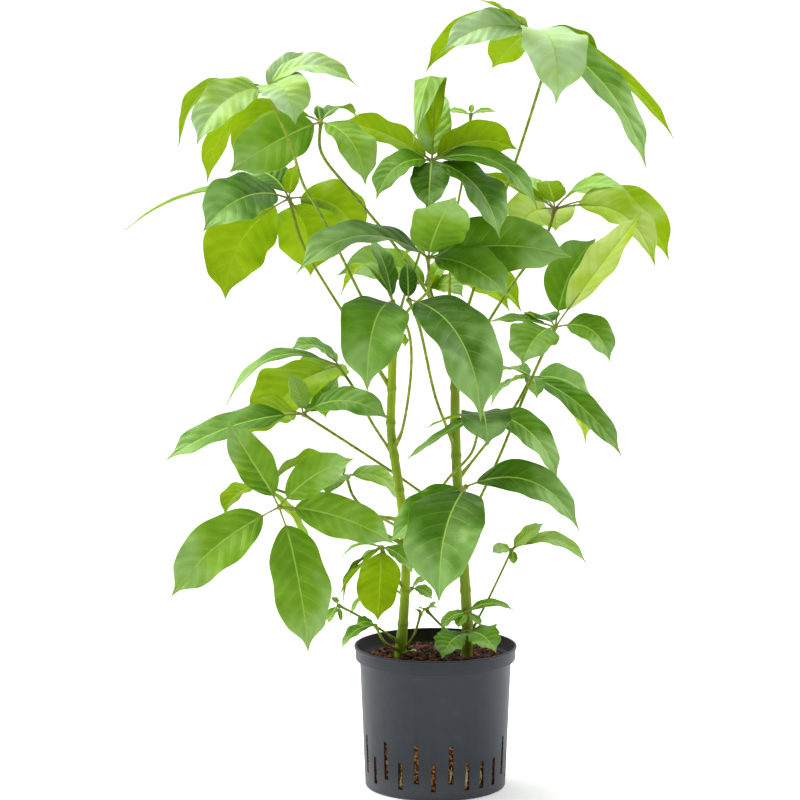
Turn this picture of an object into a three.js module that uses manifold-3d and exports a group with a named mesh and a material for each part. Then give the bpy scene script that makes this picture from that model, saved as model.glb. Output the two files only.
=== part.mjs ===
// A potted umbrella plant: two green stems in a slotted plastic culture pot, each carrying long
// stalked leaves whose leaflets spread from one knuckle like the ribs of an umbrella.
// Millimetres, +Z up. The origin is the middle of the pot's underside, and -Y is the front.
import * as THREE from "three";
import Module from "manifold-3d";

const wasm = await Module();
wasm.setup();

// ---- driving dimensions -------------------------------------------------------------------

const potHeight = 193;
const potBaseRadius = 95;
const potWaistRadius = 102.3; // the wall's top, just under the collar
const potCollarRadius = 108.2;
const potLipRadius = 110;
const potCollarHeight = 20.5;
const potWall = 1.8;
const potFloor = 2.5;
const potSegments = 44;

const slotCount = 26;
const slotTurn = -2; // degrees from the front to the slot nearest it
const slotWidthLow = 7;
const slotWidthTop = 5.4;
const tallSlot = { bottom: 23, top: 75 };
const shortSlot = { bottom: 13, top: 50 };

const seat = 0.3; // clearance between pieces that touch
const soilLevel = 174;
const soilCrown = 4; // how much higher the middle lies than the rim of the soil
const soilRelief = 2.2;
const soilSegments = 26;

const stemSides = 8;
const scarSwelling = 0.9; // how far a leaf scar stands out of the stem
const scarSpacing = 60;

const stalkSides = 5;
const stalkRadius = 2.2;
const sheathRadius = 4.2; // the swollen foot that clasps the stem
const stalkSteps = 5;
const knuckleRadius = 5.4;

const bladeThickness = 1;
const bladeCuts = [ // where a blade at least this long, measured along its bend, has its cross sections
  { from: 165, cuts: [0.1, 0.3, 0.55, 0.8] },
  { from: 95, cuts: [0.13, 0.42, 0.76] },
  { from: 44, cuts: [0.2, 0.62] },
  { from: 0, cuts: [0.42] },
];
const bladeFold = 0.2; // rise of the blade's edges over its midrib, as a share of the half width
const bentOver = 1; // a leaflet with more arch than this hangs over, and its edges turn down instead
const bladeWave = 0.09;
const stalkletShare = 0.07; // the bare stalk of a leaflet, as a share of its length
const stalkletLeast = 3.4; // and its least length
const stalkletRadius = 1.5;
const stalkletRoot = 0.8; // its radius where it leaves the knuckle
const stalkletStart = 2.4; // how far from the knuckle's middle a leaflet's stalk begins
const widestAt = 0.42;

// ---- stems: centre line points [x, y, z] from the bottom up, and the radius there -------------

const stems = {
  left: {
    line: [[-50, 0, 130], [-48, 0, 172], [-43, 0, 235], [-40, 0, 307], [-45, 0, 377], [-54, 0, 440],
      [-60, 0, 485], [-59, 0, 540], [-57, 0, 600], [-53, 0, 640]],
    radius: [7.5, 7.8, 6.6, 6.5, 6.4, 6.3, 6.2, 6, 5.8, 4.5],
  },
  right: {
    line: [[42, 0, 130], [42, 0, 172], [43, 0, 205], [42, 0, 240], [36, 0, 330], [29, 0, 417],
      [26, 0, 500], [25, 0, 560], [20, 0, 605], [16, 0, 640]],
    radius: [7.6, 8, 7.4, 7, 6.9, 6.8, 6.7, 6.4, 6, 4.5],
  },
};

// ---- leaves ---------------------------------------------------------------------------------
// path: the leaf stalk's points from the stem's axis out to the knuckle.
// bare: the bare stalk of its leaflets as a share of their length, where it is longer than usual.
// blades: one row for each leaflet, [dx, dy, dz, width, arch, roll]. dx, dy, dz reach from the
// knuckle to the leaflet's tip, arch lifts its middle as a share of its length, and roll turns
// its face about its own line, in degrees.

const leaves = [
  { name: "leaf_01", stem: "right",
    path: [[22, 0, 587], [60, 40, 700], [86, 40, 783], [107, 30, 846], [138, 0, 950], [148, -18, 990],
      [124, -30, 1019]],
    blades: [
      [-66, -10, 40, 38, 0.1, 0],
      [-116, -40, -25, 50, 0.26, -50],
      [-138, 45, -56, 46, 0.42, 40],
      [-49, 80, -52, 54, 0.12, 25],
      [29, -75, -93, 88, 0.7, 0],
      [149, -45, -178, 68, 0.23, 22],
      [94, 60, -75, 52, 0.35, -20],
      [193, 45, -146, 28, 0.22, -30],
    ] },
  { name: "leaf_02", stem: "left",
    path: [[-58, 0, 585], [-97, -15, 663], [-153, -35, 779], [-174, -70, 820], [-189, -100, 872],
      [-220, -130, 948]],
    blades: [
      [-85, -55, -69, 60, 0.35, -35],
      [-116, 50, -79, 48, 0.58, 0],
      [48, 35, 45, 34, 0.05, 40],
      [117, -10, 3, 38, 0.5, 35],
      [40, -66, -44, 64, 0.55, 15],
      [-77, 20, -123, 44, 0.25, 30],
    ] },
  { name: "leaf_03", stem: "right",
    path: [[18, 0, 614], [-13, 0, 672], [-61, -10, 743], [-111, -25, 806], [-152, -38, 862],
      [-152, -40, 900]],
    blades: [
      [-118, -35, -64, 74, 0.1, -65],
      [-112, 60, -72, 56, 0.7, 20],
      [59, -50, -80, 58, 0.4, 15],
      [-5, 15, 22, 14, 0, 0],
      [47, 40, 5, 36, 0.5, 0],
    ] },
  { name: "leaf_04", stem: "left", bare: 0.12,
    path: [[-59, 0, 540], [-125, 30, 642], [-178, 45, 731], [-197, 50, 793]],
    blades: [
      [-110, -90, -37, 76, 0.35, -40],
      [-221, -10, -42, 30, 0.28, 0],
      [-88, 26, -139, 92, 0.3, 55],
      [27, 48, -109, 84, 0.25, -25],
      [96, 66, -65, 68, 0.35, -50],
      [10, -40, 48, 22, 0.1, 0],
      [-62, 40, 34, 50, 0.35, -30],
    ] },
  { name: "leaf_05", stem: "left",
    path: [[-57, 0, 600], [-44, 5, 660], [-21, 0, 728], [-6, -20, 848]],
    blades: [
      [-120, 40, 51, 52, 0.1, 50],
      [-73, -40, -48, 48, 0.45, -25],
      [-5, -62, -62, 50, 0.3, 0],
      [88, -45, -99, 76, 0.34, 12],
      [114, 30, 13, 62, 0.3, -55],
      [139, -35, -62, 40, 0.45, 30],
      [-26, -62, 22, 42, 3, 0],
      [8, 50, 96, 46, 0.05, 0],
    ] },
  { name: "leaf_06", stem: "right", bare: 0.16,
    path: [[25, 0, 556], [92, 50, 660], [152, 100, 741], [163, 110, 774]],
    blades: [
      [-50, 45, -34, 64, 0.35, 50],
      [4, 50, -34, 60, 0.4, -10],
      [102, 65, -6, 44, 0.55, -35],
      [98, -45, 26, 36, 0.4, 20],
      [-14, -50, 43, 40, 0.2, 0],
      [136, -20, -76, 66, 0.5, -45],
      [160, 40, -74, 60, 0.5, -50],
      [-101, 0, 50, 26, 0.1, 40],
      [-45, 64, 40, 28, 0.1, -30],
    ] },
  { name: "leaf_07", stem: "right", bare: 0.15,
    path: [[17, 0, 625], [22, 40, 738], [43, 60, 857], [47, 60, 905]],
    blades: [
      [-32, 5, 6, 12, 0.1, -30],
      [2, 8, 14, 8, 0, 0],
      [35, 5, 3, 11, 0.2, 30],
    ] },
  { name: "leaf_08", stem: "right", bare: 0.15,
    path: [[35, 0, 342], [81, 0, 440], [126, 30, 544], [161, 40, 620]],
    blades: [
      [113, -20, 156, 54, 0.02, -45],
      [58, 68, 114, 64, 0.22, 40],
      [72, -40, -42, 50, 0.5, 30],
      [-46, -50, -45, 70, 0.35, -15],
      [-30, 52, 0, 48, 0.45, 0],
      [-90, 14, 6, 26, 0.15, -15],
    ] },
  { name: "leaf_09", stem: "right",
    path: [[29, 0, 418], [66, 40, 458], [109, 90, 505], [132, 110, 543]],
    blades: [
      [120, -80, -98, 40, 0.2, 30],
      [96, 40, -82, 60, 0.45, 30],
      [78, 40, -97, 72, 0.35, 0],
      [6, -50, -23, 26, 0.3, 0],
      [-56, -30, -34, 44, 0.35, 15],
      [-45, 40, 2, 36, 0.3, 0],
    ] },
  { name: "leaf_10", stem: "left",
    path: [[-43, 0, 345], [-3, -25, 398], [19, -40, 430], [37, -50, 450], [48, -55, 466], [60, -70, 520]],
    blades: [
      [98, -30, -88, 50, 0.38, 30],
      [6, -70, -34, 66, 0.35, 0],
      [-100, 10, -65, 26, 0.05, -20],
      [-74, 45, -28, 20, 0.1, 0],
    ] },
  { name: "leaf_11", stem: "right",
    path: [[27, 0, 460], [0, -30, 532], [-24, -85, 640], [-37, -95, 672]],
    blades: [
      [92, -105, -145, 98, 0.45, 10],
      [-2, 12, 48, 24, 0, 0],
    ] },
  { name: "leaf_12", stem: "right",
    path: [[32, 0, 380], [36, -60, 405], [38, -110, 427]],
    blades: [
      [-36, -105, -131, 104, 0.35, 0],
      [148, -20, -55, 52, 0.5, 45],
      [-100, 10, -76, 52, 0.1, -55],
    ] },
  { name: "leaf_13", stem: "left",
    path: [[-57, 0, 590], [-49, -5, 612], [-40, -15, 645], [-11, -45, 680], [-11, -50, 722]],
    blades: [
      [-172, -60, -15, 74, 0.42, -20],
      [35, -66, 85, 76, 0.2, 160],
      [104, -50, -47, 66, 0.25, 35],
      [189, 10, 0, 80, 0.17, 65],
      [-34, 26, -4, 14, 0.6, 0],
      [40, 30, -12, 14, 0.6, 0],
    ] },
  { name: "leaf_14", stem: "right",
    path: [[19, 0, 608], [5, 40, 640], [-8, 70, 668]],
    blades: [
      [110, 40, -34, 52, 0.5, -40],
      [128, 80, -40, 50, 0.5, -30],
      [45, -24, -8, 30, 0.5, 40],
      [38, 20, 46, 26, 0.3, 30],
      [9, -25, 24, 20, 0.1, 0],
      [-125, -10, 20, 60, 0.4, -40],
    ] },
  { name: "leaf_15", stem: "left", bare: 0.12,
    path: [[-56, 0, 451], [-86, 55, 488], [-112, 90, 532], [-132, 100, 560]],
    blades: [
      [-153, -30, -50, 32, 0.5, -14],
      [-66, -20, 25, 40, 0.45, -20],
      [-30, 30, 22, 20, 0.2, 0],
      [-108, 60, -98, 100, 0.25, 30],
      [-40, 104, -58, 70, 0.3, 20],
    ] },
  { name: "leaf_16", stem: "right", bare: 0.12,
    path: [[33, 0, 363], [-9, 30, 389], [-63, 45, 425], [-179, 40, 502]],
    blades: [
      [-185, -30, -59, 58, 0.16, -28],
      [-80, 60, -38, 62, 0.3, 40],
      [-17, 20, 52, 34, 0.1, 0],
      [47, 25, 50, 24, -0.2, 45],
      [117, -50, -1, 46, 0.36, 40],
      [30, 60, -14, 30, 0.4, 0],
    ] },
  { name: "leaf_17", stem: "left",
    path: [[-43, 0, 349], [-111, 95, 378], [-122, 110, 406]],
    blades: [
      [78, 10, -46, 36, 0.45, 35],
      [-26, -50, -20, 40, 0.3, 0],
      [-50, 40, -10, 40, 0.3, 0],
    ] },
  { name: "leaf_18", stem: "left", bare: 0.13,
    path: [[-41, 0, 330], [-100, -40, 365], [-187, -130, 400], [-205, -150, 407]],
    blades: [
      [-67, -5, 113, 50, 0.05, -80],
      [98, -15, 66, 48, 0.15, 75],
      [150, -35, -42, 56, 0.15, 65],
      [38, -35, -184, 76, 0.12, 30],
      [-138, -40, -110, 68, 0.12, -60],
    ] },
  { name: "leaf_19", stem: "left",
    path: [[-44, 0, 363], [-129, 40, 372], [-228, 40, 402]],
    blades: [
      [-60, 20, -44, 46, 0.42, 20],
      [92, 30, 32, 52, 0.3, -30],
      [56, 34, -92, 34, 0.12, 0],
    ] },
  { name: "leaf_20", stem: "left",
    path: [[-41, 0, 266], [-60, -30, 305], [-73, -50, 336]],
    blades: [
      [-5, 16, -103, 60, -0.1, 0],
      [-56, -30, -59, 34, 0.1, 30],
      [-51, 10, -75, 34, 0.3, 0],
      [-54, 0, -15, 14, 0.4, 0],
      [20, 15, -20, 22, 0.3, 0],
      [42, -10, -34, 30, 0.3, 20],
    ] },
  { name: "leaf_21", stem: "left",
    path: [[-42, 0, 248], [-37, 28, 256], [-32, 40, 262]],
    blades: [
      [24, -10, 18, 18, 0.2, 30],
      [28, -5, -14, 20, 0.3, 30],
      [-12, 10, -28, 10, 0.1, 0],
    ] },
  { name: "leaf_22", stem: "left",
    path: [[-46, 0, 194], [-94, -40, 235], [-130, -60, 259]],
    blades: [
      [-13, -12, -22, 16, 0.2, 0],
      [-8, 10, 10, 10, 0.1, 0],
      [4, -12, -20, 6, 0, 0],
    ] },
  { name: "leaf_23", stem: "left",
    path: [[-48, 0, 184], [-70, -48, 208], [-81, -66, 233]],
    blades: [
      [-25, -15, 4, 20, 0.3, -30],
      [-45, -10, -30, 22, 0.35, -20],
    ] },
  { name: "leaf_24", stem: "left",
    path: [[-47, 0, 183], [-30, -18, 208], [-20, -30, 242]],
    blades: [
      [22, -10, 10, 12, 0.3, 0],
      [-8, -8, 8, 10, 0.1, 0],
    ] },
  { name: "leaf_25", stem: "right",
    path: [[43, 0, 190], [8, 35, 212], [-11, 40, 231]],
    blades: [
      [14, 6, 12, 10, 0.2, 0],
      [-12, -8, 6, 10, 0.2, 0],
    ] },
  { name: "leaf_26", stem: "right",
    path: [[42, 0, 230], [42, -16, 240]],
    blades: [
      [-35, -5, -22, 20, 0.3, -30],
      [-12, -16, -18, 18, 0.2, 0],
      [18, -14, -16, 18, 0.2, 0],
      [64, 5, 2, 16, 0.35, 30],
    ] },
  { name: "leaf_27", stem: "right",
    path: [[43, 0, 202], [42, -24, 214]],
    blades: [
      [-34, -36, -28, 50, 0.3, -10],
      [38, -46, -17, 48, 0.35, 20],
    ] },
  { name: "leaf_28", stem: "right",
    path: [[43, 0, 200], [71, 10, 252], [104, 20, 320]],
    blades: [
      [43, 5, 35, 22, 0.1, 45],
      [-28, -15, -2, 20, 0.2, -35],
      [2, -12, -19, 12, 0.1, 0],
      [103, 0, -23, 24, 0.5, 35],
    ] },
  { name: "leaf_29", stem: "left",
    path: [[-41, 0, 257], [-54, 22, 264], [-67, 34, 268]],
    blades: [
      [-50, 10, -46, 22, 0.25, -20],
    ] },
  { name: "leaf_30", stem: "left",
    path: [[-57, 0, 596], [-60, 22, 612]],
    blades: [
      [-15, 25, -52, 38, 0.3, 0],
      [20, 30, -20, 20, 0.3, 0],
    ] },
  { name: "leaf_31", stem: "left",
    path: [[-56, 0, 462], [-45, -25, 490], [-33, -65, 586], [-38, -78, 632], [-58, -80, 668]],
    blades: [
      [-32, -95, -106, 86, 0.55, -15],
      [-70, 100, -4, 24, 0.75, 0],
      [-30, 60, 80, 34, 0.2, 20],
    ] },
  { name: "leaf_32", stem: "left",
    path: [[-48, 0, 179], [-40, -15, 184]],
    blades: [
      [14, -10, 5, 12, 0.2, 0],
    ] },
];

// ---- materials ------------------------------------------------------------------------------

const potPlastic = new THREE.MeshStandardMaterial({ color: 0x454c55, roughness: 0.55, metalness: 0 });
const granules = new THREE.MeshStandardMaterial({ color: 0x5d382a, roughness: 0.95, metalness: 0 });
const greenStem = new THREE.MeshStandardMaterial({ color: 0x86a22e, roughness: 0.5, metalness: 0 });
const greenLeaf = new THREE.MeshStandardMaterial({ color: 0x4c8f22, roughness: 0.35, metalness: 0 });

// ---- small helpers --------------------------------------------------------------------------

const up = new THREE.Vector3(0, 0, 1);
const point = (xyz) => new THREE.Vector3(...xyz);

// A closed body through rings of equal length, with flat caps. split(j) says which way the
// four-sided face beside corner j is cut in two.
function loft(rings, split = () => false) {
  const sides = rings[0].length;
  const positions = rings.flat().flatMap((p) => [p.x, p.y, p.z]);
  const index = [];
  for (let i = 0; i + 1 < rings.length; i += 1) {
    for (let j = 0; j < sides; j += 1) {
      const next = (j + 1) % sides;
      const a = i * sides + j;
      const b = i * sides + next;
      const c = b + sides;
      const d = a + sides;
      if (split(j)) index.push(a, b, d, b, c, d);
      else index.push(a, b, c, a, c, d);
    }
  }
  const last = (rings.length - 1) * sides;
  for (let j = 1; j + 1 < sides; j += 1) {
    index.push(0, j + 1, j);
    index.push(last, last + j, last + j + 1);
  }
  const geometry = new THREE.BufferGeometry();
  geometry.setAttribute("position", new THREE.Float32BufferAttribute(positions, 3));
  geometry.setIndex(index);
  return geometry;
}

// three's own geometries repeat their vertices along seams: this joins them for a boolean.
function merged(geometry) {
  const source = geometry.getAttribute("position");
  const inTurn = Array.from({ length: source.count }, (_, i) => i);
  const order = geometry.index ? Array.from(geometry.index.array) : inTurn;
  const seen = new Map();
  const positions = [];
  const index = [];
  for (const i of order) {
    const xyz = [source.getX(i), source.getY(i), source.getZ(i)];
    const key = xyz.map((v) => Math.round(v * 1000)).join(" ");
    if (!seen.has(key)) {
      seen.set(key, positions.length / 3);
      positions.push(...xyz);
    }
    index.push(seen.get(key));
  }
  const whole = [];
  for (let i = 0; i < index.length; i += 3) {
    const [a, b, c] = index.slice(i, i + 3);
    if (a !== b && b !== c && c !== a) whole.push(a, b, c);
  }
  const joined = new THREE.BufferGeometry();
  joined.setAttribute("position", new THREE.Float32BufferAttribute(positions, 3));
  joined.setIndex(whole);
  return joined;
}

function solid(geometry) {
  const vertProperties = new Float32Array(geometry.getAttribute("position").array);
  const triVerts = new Uint32Array(geometry.index.array);
  return new wasm.Manifold(new wasm.Mesh({ numProp: 3, vertProperties, triVerts }));
}

function meshOf(name, body, material) {
  const { vertProperties, triVerts, numProp } = body.getMesh();
  const positions = [];
  for (let i = 0; i < vertProperties.length; i += numProp) positions.push(...vertProperties.slice(i, i + 3));
  const geometry = new THREE.BufferGeometry();
  geometry.setAttribute("position", new THREE.Float32BufferAttribute(positions, 3));
  geometry.setIndex(Array.from(triVerts));
  geometry.computeVertexNormals();
  const mesh = new THREE.Mesh(geometry, material);
  mesh.name = name;
  return mesh;
}

function lathe(profile, segments) {
  const geometry = new THREE.LatheGeometry(profile.map(([r, z]) => new THREE.Vector2(r, z)), segments);
  geometry.rotateX(Math.PI / 2);
  return merged(geometry);
}

// ---- stems and stalks ------------------------------------------------------------------------

// Round sections along a curve, each turned as little as possible from the one before.
function tubeRings(curve, steps, sides, radiusAt) {
  const frames = curve.computeFrenetFrames(steps, false);
  const rings = [];
  for (let i = 0; i <= steps; i += 1) {
    const centre = curve.getPointAt(i / steps);
    const radius = radiusAt(i / steps);
    const ring = [];
    for (let j = 0; j < sides; j += 1) {
      const angle = (2 * Math.PI * j) / sides;
      const corner = centre.clone();
      corner.addScaledVector(frames.normals[i], Math.cos(angle) * radius);
      corner.addScaledVector(frames.binormals[i], Math.sin(angle) * radius);
      ring.push(corner);
    }
    rings.push(ring);
  }
  return rings;
}

function stemRadius(stem, share) {
  const place = share * (stem.radius.length - 1);
  const low = Math.min(Math.floor(place), stem.radius.length - 2);
  return THREE.MathUtils.lerp(stem.radius[low], stem.radius[low + 1], place - low);
}

// The stem, swollen at its leaf scars and grown by margin all round.
function stemSolid(stem, margin) {
  const line = stem.line.map(point);
  line[0].z -= margin;
  const curve = new THREE.CatmullRomCurve3(line);
  const length = curve.getLength();
  const scars = Math.round(length / scarSpacing);
  const steps = scars * 2;
  const radiusAt = (t) => {
    const scar = Math.round(t * steps) % 2 ? scarSwelling : 0;
    return stemRadius(stem, t) + scar + margin;
  };
  return solid(loft(tubeRings(curve, steps, stemSides, radiusAt)));
}

function stalkSolid(path) {
  const curve = new THREE.CatmullRomCurve3(path.map(point), false, "centripetal");
  const steps = path.length > 2 ? stalkSteps : 3;
  const radiusAt = (t) => Math.max(stalkRadius, sheathRadius * (1 - 2.6 * t));
  return solid(loft(tubeRings(curve, steps, stalkSides, radiusAt)));
}

// ---- leaflets ---------------------------------------------------------------------------------

// Half width of a blade at u along it, as a share of its greatest half width.
function outline(u) {
  if (u < widestAt) return (1 - (1 - u / widestAt) ** 2.2) ** 0.7;
  const beyond = (u - widestAt) / (1 - widestAt);
  const drip = 1 - 0.6 * THREE.MathUtils.smoothstep(u, 0.8, 0.95);
  return (1 - beyond ** 2.5) * drip;
}

// The leaflet's line is one bend from the knuckle to the tip. This gives its place, direction,
// side and face at s along it.
function bladeFrame(hub, row, s) {
  const [dx, dy, dz, , arch, roll] = row;
  const chord = new THREE.Vector3(dx, dy, dz);
  const side = new THREE.Vector3(dx, dy, 0).cross(up).normalize();
  const lift = side.clone().cross(chord);
  const bend = chord.clone().multiplyScalar(0.5).addScaledVector(lift, arch);
  const centre = hub.clone().addScaledVector(bend, 2 * s * (1 - s)).addScaledVector(chord, s * s);
  const along = bend.clone().multiplyScalar(2 * (1 - 2 * s)).addScaledVector(chord, 2 * s).normalize();
  const flat = side.clone().cross(along);
  const turn = THREE.MathUtils.degToRad(roll);
  const across = side.clone().multiplyScalar(Math.cos(turn)).addScaledVector(flat, -Math.sin(turn));
  const face = flat.clone().multiplyScalar(Math.cos(turn)).addScaledVector(side, Math.sin(turn));
  return { centre, along, across, face };
}

function sixSided(frame, corners) {
  return corners.map(([sideways, out]) => frame.centre.clone()
    .addScaledVector(frame.across, sideways)
    .addScaledVector(frame.face, out));
}

function stalkletRing(frame, radius) {
  const half = radius * 0.8;
  return sixSided(frame, [[-radius, half], [0, half], [radius, half],
    [radius, -half], [0, -half], [-radius, -half]]);
}

// A cross section of the blade: its top from edge to midrib to edge, then its underside back.
function bladeRing(frame, half, rise, wave) {
  const left = rise + wave;
  const right = rise - wave;
  return sixSided(frame, [[-half, left], [0, 0], [half, right],
    [half, right - bladeThickness], [0, -bladeThickness], [-half, left - bladeThickness]]);
}

function leafletSolid(hub, row, phase, bareShare = stalkletShare) {
  const length = Math.hypot(row[0], row[1], row[2]);
  const bare = Math.max(bareShare, stalkletLeast / length);
  const start = stalkletStart / (length * Math.hypot(1, 2 * row[4]));
  const halfWidth = row[3] / 2;
  const fold = row[4] > bentOver ? -bladeFold : bladeFold;
  const { cuts } = bladeCuts.find(({ from }) => Math.hypot(length, length * row[4] / 2) >= from);
  const rings = [];
  rings.push(stalkletRing(bladeFrame(hub, row, start), stalkletRoot));
  rings.push(stalkletRing(bladeFrame(hub, row, bare), stalkletRadius));
  for (const u of cuts) {
    const half = halfWidth * outline(u);
    const wave = bladeWave * half * Math.sin(2 * Math.PI * (1.3 * u + phase));
    rings.push(bladeRing(bladeFrame(hub, row, bare + (1 - bare) * u), half, fold * half, wave));
  }
  rings.push(bladeRing(bladeFrame(hub, row, 1), 0.5, 0, 0));
  return solid(loft(rings, (j) => j === 3 || j === 4));
}

function leafSolid(leaf, number, clearance) {
  const hub = point(leaf.path[leaf.path.length - 1]);
  const knuckle = new THREE.OctahedronGeometry(knuckleRadius, 0).translate(hub.x, hub.y, hub.z);
  let body = solid(merged(knuckle)).add(stalkSolid(leaf.path));
  leaf.blades.forEach((row, i) => {
    const phase = (number * 0.31 + i * 0.37) % 1;
    body = body.add(leafletSolid(hub, row, phase, leaf.bare));
  });
  return body.subtract(clearance);
}

// ---- pot and soil -----------------------------------------------------------------------------

const collarFoot = potHeight - potCollarHeight;
const wallRadius = (z) => THREE.MathUtils.lerp(potBaseRadius, potWaistRadius, z / collarFoot);

function potBody() {
  return solid(lathe([
    [0, 0], [potBaseRadius - 1.5, 0], [potBaseRadius, 1.5],
    [potWaistRadius, collarFoot], [potCollarRadius - 0.4, collarFoot + 2],
    [potCollarRadius + 0.4, potHeight - 4], [potLipRadius, potHeight - 2.8], [potLipRadius, potHeight - 1],
    [potLipRadius - 1, potHeight], [potCollarRadius - potWall + 0.4, potHeight],
    [potCollarRadius - potWall - 0.2, collarFoot + 3.5],
    [potWaistRadius - potWall, collarFoot + 1], [potBaseRadius - potWall, potFloor], [0, potFloor],
  ], potSegments));
}

// One slot: a tapering bar that reaches through the wall at the given angle from the front.
function slotCutter(angle, { bottom, top }) {
  const shape = new THREE.Shape([
    new THREE.Vector2(-slotWidthLow / 2, bottom),
    new THREE.Vector2(slotWidthLow / 2, bottom),
    new THREE.Vector2(slotWidthTop / 2, top),
    new THREE.Vector2(-slotWidthTop / 2, top),
  ]);
  const depth = 16;
  const bar = new THREE.ExtrudeGeometry(shape, { depth, bevelEnabled: false });
  bar.rotateX(Math.PI / 2);
  bar.translate(0, -(potBaseRadius - 8), 0);
  bar.rotateZ(angle);
  return solid(merged(bar));
}

function potSolid() {
  let body = potBody();
  for (let i = 0; i < slotCount; i += 1) {
    const angle = THREE.MathUtils.degToRad(slotTurn + (360 * i) / slotCount);
    body = body.subtract(slotCutter(angle, i % 2 ? tallSlot : shortSlot));
  }
  return body;
}

function soilSolid(stemsGrown) {
  const innerFoot = potBaseRadius - potWall - seat;
  const innerTop = wallRadius(soilLevel - 6) - potWall - seat;
  const geometry = lathe([
    [0, potFloor + seat], [innerFoot, potFloor + seat], [innerTop, soilLevel - 6],
    [80, soilLevel - 2], [50, soilLevel], [22, soilLevel + 1], [0, soilLevel + 1],
  ], soilSegments);
  const place = geometry.getAttribute("position");
  for (let i = 0; i < place.count; i += 1) {
    const [x, y, z] = [place.getX(i), place.getY(i), place.getZ(i)];
    const inside = 1 - Math.hypot(x, y) / potWaistRadius;
    const bumps = Math.sin(x / 7 + 1) * Math.cos(y / 9) + Math.sin((x - y) / 5);
    const rise = soilCrown * inside + soilRelief * bumps * Math.min(1, 3 * inside);
    if (z > soilLevel - 5) place.setZ(i, z + rise);
  }
  return solid(geometry).subtract(stemsGrown);
}

// ---- the plant --------------------------------------------------------------------------------

const plant = new THREE.Group();
const stemsGrown = stemSolid(stems.left, seat).add(stemSolid(stems.right, seat));

plant.add(meshOf("pot", potSolid(), potPlastic.clone()));
plant.add(meshOf("substrate", soilSolid(stemsGrown), granules.clone()));
plant.add(meshOf("stem_left", stemSolid(stems.left, 0), greenStem.clone()));
plant.add(meshOf("stem_right", stemSolid(stems.right, 0), greenStem.clone()));
leaves.forEach((leaf, number) => {
  plant.add(meshOf(leaf.name, leafSolid(leaf, number, stemsGrown), greenLeaf.clone()));
});

export default plant;
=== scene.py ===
# A potted umbrella plant: slotted culture pot, granulate, two green stems and their long stalked
# leaves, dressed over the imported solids. Sizes are written in millimetres and used times mm.
import math
import random

import bpy
import numpy as np
from mathutils import Matrix, Vector, noise


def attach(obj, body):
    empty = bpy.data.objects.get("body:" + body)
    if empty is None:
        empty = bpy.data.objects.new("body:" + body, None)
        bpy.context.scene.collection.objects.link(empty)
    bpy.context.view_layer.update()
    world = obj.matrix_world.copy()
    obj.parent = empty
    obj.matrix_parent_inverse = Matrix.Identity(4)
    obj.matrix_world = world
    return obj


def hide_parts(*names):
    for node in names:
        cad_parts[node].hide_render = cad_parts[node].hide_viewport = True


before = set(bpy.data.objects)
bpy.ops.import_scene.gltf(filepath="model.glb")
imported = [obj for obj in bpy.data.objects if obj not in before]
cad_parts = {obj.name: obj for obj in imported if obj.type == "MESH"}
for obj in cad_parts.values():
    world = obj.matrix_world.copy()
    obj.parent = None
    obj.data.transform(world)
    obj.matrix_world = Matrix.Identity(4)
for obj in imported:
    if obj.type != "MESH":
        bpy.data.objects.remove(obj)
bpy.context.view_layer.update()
mm = 0.001
print("frame loaded:", len(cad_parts), "nodes")


# selecting, making and finishing

def letGo():  # nothing selected, nothing in edit mode
    if bpy.context.object and bpy.context.object.mode != "OBJECT":
        bpy.ops.object.mode_set(mode="OBJECT")
    bpy.ops.object.select_all(action="DESELECT")


def pick(*pieces):
    letGo()
    for piece in pieces:
        piece.select_set(True)
    bpy.context.view_layer.objects.active = pieces[0]


def joined(pieces, name):
    pick(*pieces)
    if len(pieces) > 1:
        bpy.ops.object.join()
    piece = bpy.context.object
    piece.name = piece.data.name = name
    return piece


def applied(piece, kind, **settings):  # adds a modifier and applies it
    modifier = piece.modifiers.new(kind.lower(), kind)
    for key, value in settings.items():
        setattr(modifier, key, value)
    pick(piece)
    bpy.ops.object.modifier_apply(modifier=modifier.name)


def turned(segments, rings):  # a disc drawn up through rings of (radius, height), left in edit mode
    letGo()
    radius, height = rings[0]
    bpy.ops.mesh.primitive_circle_add(vertices=segments, radius=radius * mm, fill_type="NGON",
                                      location=(0, 0, height * mm))
    bpy.ops.object.transform_apply(location=True)
    bpy.ops.object.mode_set(mode="EDIT")
    bpy.ops.mesh.select_all(action="SELECT")
    for nextRadius, nextHeight in rings[1:]:
        bpy.ops.mesh.extrude_region_move(
            TRANSFORM_OT_translate={"value": (0, 0, (nextHeight - height) * mm)})
        grow = nextRadius / radius
        bpy.ops.transform.resize(value=(grow, grow, 1), center_override=(0, 0, nextHeight * mm))
        radius, height = nextRadius, nextHeight
    return bpy.context.object


def outwards(piece):
    pick(piece)
    bpy.ops.object.mode_set(mode="EDIT")
    bpy.ops.mesh.select_all(action="SELECT")
    bpy.ops.mesh.normals_make_consistent(inside=False)
    bpy.ops.object.mode_set(mode="OBJECT")


def smoothed(piece, degrees):
    pick(piece)
    bpy.ops.object.shade_smooth_by_angle(angle=math.radians(degrees))


def dressed(piece, *paints):
    piece.data.materials.clear()
    for paint in paints:
        piece.data.materials.append(paint)


def settled(piece, nodes):  # hands a finished piece to the frame
    pick(piece)
    bpy.ops.object.transform_apply(location=True, rotation=True, scale=True)
    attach(piece, "root")
    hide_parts(*nodes)


def vertexPlaces(mesh):  # one row of x, y, z for each vertex
    places = np.empty(len(mesh.vertices) * 3)
    mesh.vertices.foreach_get("co", places)
    return places.reshape(-1, 3)


def setFloats(mesh, name, values):
    attribute = mesh.attributes.get(name) or mesh.attributes.new(name, "FLOAT", "POINT")
    attribute.data.foreach_set("value", np.ascontiguousarray(values, dtype=np.float32))


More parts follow.
